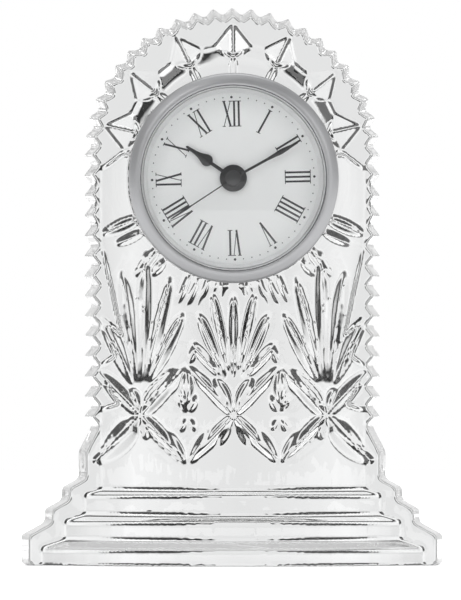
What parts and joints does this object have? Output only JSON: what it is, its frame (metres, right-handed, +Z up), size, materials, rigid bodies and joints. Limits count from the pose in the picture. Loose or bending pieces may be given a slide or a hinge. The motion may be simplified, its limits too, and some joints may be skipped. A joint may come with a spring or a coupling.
{
  "type": "crystal desk clock",
  "caption": "Free-standing cut crystal desk clock with a stepped foot, zigzag rim and a round quartz insert that pulls out of its bore.",
  "frame": {"origin": "on the table, under the middle of the clock's width and depth", "axes": "+X to the viewer's right seen from the dial side, +Y to the back, +Z up"},
  "size_m": [0.1348, 0.038, 0.178],
  "materials": {
    "crystal": "clear polished cut crystal",
    "bezel_metal": "satin, rounded",
    "gasket_rubber": "matt black",
    "lens_glass": "clear, polished",
    "reflector_white": "satin white",
    "dial_white": "matt off-white",
    "case_plastic": "moulded off-white",
    "grip_rubber": "soft translucent grey",
    "hand_black": "gloss black lacquer",
    "movement_plastic": "moulded grey-white",
    "bridge_steel": "fine brushed",
    "screw_nickel": "nickel plated",
    "gear_plastic": "ivory acetal",
    "rotor_magnet": "bonded magnet, dark grey",
    "pinion_brass": "turned",
    "stator_steel": "stamped soft iron",
    "bobbin_plastic": "moulded tan",
    "winding_wire": "enamelled copper wire",
    "board_green": "green solder resist",
    "can_metal": "bright drawn can",
    "chip_epoxy": "black epoxy blob",
    "cell_steel": "satin nickel steel",
    "contact_spring": "spring strip",
    "hatch_plastic": "moulded light grey",
    "knob_plastic": "moulded off-white"
  },
  "bodies": {
    "crystal": {"crystal_block": "crystal"},
    "insert": {"bezel": "bezel_metal", "lens_gasket": "gasket_rubber", "lens": "lens_glass", "reflector_ring": "reflector_white", "dial": "dial_white", "case_cup": "case_plastic", "grip_ring": "grip_rubber", "movement_front_plate": "movement_plastic", "train_bridge": "bridge_steel", "bridge_screws": "screw_nickel", "movement_back_cover": "movement_plastic", "cover_screws": "screw_nickel", "stator": "stator_steel", "coil_core": "stator_steel", "coil_bobbin": "bobbin_plastic", "coil_winding": "winding_wire", "circuit_board": "board_green", "oscillator_can": "can_metal", "driver_chip": "chip_epoxy", "button_cell": "cell_steel", "contact_positive": "contact_spring", "contact_negative": "contact_spring"},
    "seconds": {"second_wheel": "gear_plastic", "second_hand": "hand_black"},
    "intermediate": {"intermediate_wheel": "gear_plastic"},
    "rotor": {"rotor": "rotor_magnet"},
    "third": {"third_wheel": "gear_plastic"},
    "centre": {"centre_gear": "gear_plastic"},
    "minutes": {"cannon_pinion": "pinion_brass", "minute_hand": "hand_black"},
    "motion": {"motion_wheel": "gear_plastic", "setting_knob": "knob_plastic"},
    "hours": {"hour_wheel": "gear_plastic", "hour_hand": "hand_black"},
    "hatch": {"battery_hatch": "hatch_plastic"}
  },
  "joints": [
    {"name": "insert_slide", "type": "slide", "parent": "crystal", "child": "insert", "axis": [0, -1, 0], "range_m": [0, 0.03]},
    {"name": "second_spin", "type": "hinge", "parent": "insert", "child": "seconds", "pos_m": [0, 0, 0.123], "axis": [0, 1, 0], "continuous": true},
    {"name": "intermediate_spin", "type": "hinge", "parent": "insert", "child": "intermediate", "pos_m": [0.0072, 0, 0.123], "axis": [0, 1, 0], "continuous": true},
    {"name": "rotor_spin", "type": "hinge", "parent": "insert", "child": "rotor", "pos_m": [0.0128, 0, 0.123], "axis": [0, 1, 0], "continuous": true},
    {"name": "third_spin", "type": "hinge", "parent": "insert", "child": "third", "pos_m": [0, 0, 0.1298], "axis": [0, 1, 0], "continuous": true},
    {"name": "centre_spin", "type": "hinge", "parent": "insert", "child": "centre", "pos_m": [0, 0, 0.123], "axis": [0, 1, 0], "continuous": true},
    {"name": "minute_spin", "type": "hinge", "parent": "insert", "child": "minutes", "pos_m": [0, 0, 0.123], "axis": [0, 1, 0], "continuous": true},
    {"name": "motion_spin", "type": "hinge", "parent": "insert", "child": "motion", "pos_m": [0.0038, 0, 0.11642], "axis": [0, 1, 0], "continuous": true},
    {"name": "hour_spin", "type": "hinge", "parent": "insert", "child": "hours", "pos_m": [0, 0, 0.123], "axis": [0, 1, 0], "continuous": true},
    {"name": "hatch_turn", "type": "hinge", "parent": "insert", "child": "hatch", "pos_m": [-0.015, 0, 0.123], "axis": [0, 1, 0], "range_deg": [0, 60]}
  ],
  "couplings": [
    {"joint": "intermediate_spin", "follows": "second_spin", "ratio": -5},
    {"joint": "rotor_spin", "follows": "second_spin", "ratio": 30},
    {"joint": "third_spin", "follows": "second_spin", "ratio": -0.13333},
    {"joint": "centre_spin", "follows": "second_spin", "ratio": 0.016667},
    {"joint": "motion_spin", "follows": "minute_spin", "ratio": -0.33333},
    {"joint": "hour_spin", "follows": "minute_spin", "ratio": 0.083333}
  ]
}
